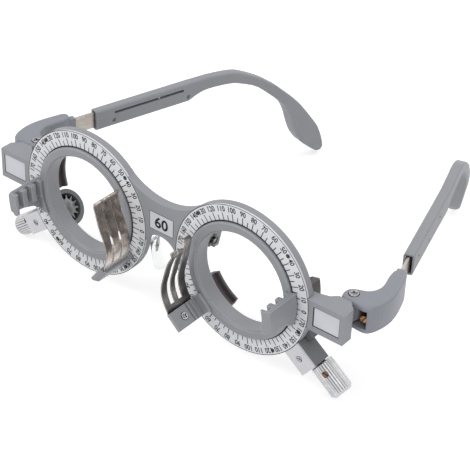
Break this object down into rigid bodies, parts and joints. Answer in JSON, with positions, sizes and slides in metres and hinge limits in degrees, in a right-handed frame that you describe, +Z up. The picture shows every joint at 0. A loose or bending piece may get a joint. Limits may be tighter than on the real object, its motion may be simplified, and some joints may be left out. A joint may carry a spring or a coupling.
{
  "type": "optical trial frame",
  "caption": "Moulded spectacle trial frame with turning lens cells in printed angle scales, side knobs, slotted lens combs, leaf springs and folding telescopic temples.",
  "frame": {"origin": "midway between the two lens axes, in the front plane of the printed scales", "axes": "+X to the wearer's left, +Y back to the ears, along the lens axes, +Z up"},
  "size_m": [0.1416, 0.1452, 0.0671],
  "materials": {
    "grey_plastic": "fine matte moulded",
    "dark_plastic": "matte",
    "scale_print": "white with black marks",
    "pale_label": "satin",
    "pale_cover": "satin",
    "spring_steel": "brushed",
    "screw_steel": "bright",
    "knob_metal": "satin",
    "set_screw_metal": "dull",
    "brass": "satin",
    "dark_steel": "dull",
    "clear_pad": "clear soft"
  },
  "bodies": {
    "front": {"front_frame": "grey_plastic", "bridge_plate": "pale_label", "left_scale": "scale_print", "left_scale_pins": "dark_steel", "left_label": "pale_label", "left_rear_holders": "dark_plastic", "left_claw_bracket": "grey_plastic", "left_rear_claw": "spring_steel", "left_gear_housing": "dark_plastic", "left_housing_cover": "pale_cover", "left_cover_screw": "screw_steel", "left_pad_wire": "dark_steel", "left_nose_pad": "clear_pad", "right_scale": "scale_print", "right_scale_pins": "dark_steel", "right_label": "pale_label", "right_rear_holders": "dark_plastic", "right_claw_bracket": "grey_plastic", "right_rear_claw": "spring_steel", "right_gear_housing": "dark_plastic", "right_housing_cover": "pale_cover", "right_cover_screw": "screw_steel", "right_pad_wire": "dark_steel", "right_nose_pad": "clear_pad"},
    "left_cell_body": {"left_cell": "grey_plastic", "left_leaf_spring": "spring_steel", "left_leaf_screw": "screw_steel"},
    "left_drive": {"left_pinion_shaft": "dark_plastic", "left_axis_knob": "knob_metal", "left_set_screw": "set_screw_metal"},
    "left_hinge": {"left_hinge_block": "grey_plastic", "left_hinge_screw": "screw_steel", "left_stop_screw": "brass", "left_strip": "spring_steel"},
    "left_temple": {"left_arm": "grey_plastic", "left_arm_cover": "grey_plastic", "left_arm_screws": "dark_steel"},
    "right_cell_body": {"right_cell": "grey_plastic", "right_leaf_spring": "spring_steel", "right_leaf_screw": "screw_steel"},
    "right_drive": {"right_pinion_shaft": "dark_plastic", "right_axis_knob": "knob_metal", "right_set_screw": "set_screw_metal"},
    "right_hinge": {"right_hinge_block": "grey_plastic", "right_hinge_screw": "screw_steel", "right_stop_screw": "brass", "right_strip": "spring_steel"},
    "right_temple": {"right_arm": "grey_plastic", "right_arm_cover": "grey_plastic", "right_arm_screws": "dark_steel"}
  },
  "joints": [
    {"name": "left_cell_turn", "type": "hinge", "parent": "front", "child": "left_cell_body", "pos_m": [0.03, 0, 0], "axis": [0, 1, 0], "continuous": true},
    {"name": "left_knob_spin", "type": "hinge", "parent": "front", "child": "left_drive", "pos_m": [0.05221, 0.0058, -0.01705], "axis": [0.7934, 0, -0.6088], "continuous": true},
    {"name": "left_temple_fold", "type": "hinge", "parent": "front", "child": "left_hinge", "pos_m": [0.0615, 0.0111, 0], "axis": [0, 0, 1], "range_deg": [-3, 74]},
    {"name": "left_temple_slide", "type": "slide", "parent": "left_hinge", "child": "left_temple", "axis": [-0.2807, 0.9598, 0], "range_m": [-0.007, 0.016]},
    {"name": "right_cell_turn", "type": "hinge", "parent": "front", "child": "right_cell_body", "pos_m": [-0.03, 0, 0], "axis": [0, 1, 0], "continuous": true},
    {"name": "right_knob_spin", "type": "hinge", "parent": "front", "child": "right_drive", "pos_m": [-0.05221, 0.0058, -0.01705], "axis": [-0.7934, 0, -0.6088], "continuous": true},
    {"name": "right_temple_fold", "type": "hinge", "parent": "front", "child": "right_hinge", "pos_m": [-0.0615, 0.0111, 0], "axis": [0, 0, -1], "range_deg": [-3, 58]},
    {"name": "right_temple_slide", "type": "slide", "parent": "right_hinge", "child": "right_temple", "axis": [0.2807, 0.9598, 0], "range_m": [-0.007, 0.016]}
  ],
  "couplings": [
    {"joint": "left_knob_spin", "follows": "left_cell_turn", "ratio": 5},
    {"joint": "right_knob_spin", "follows": "right_cell_turn", "ratio": 5}
  ]
}
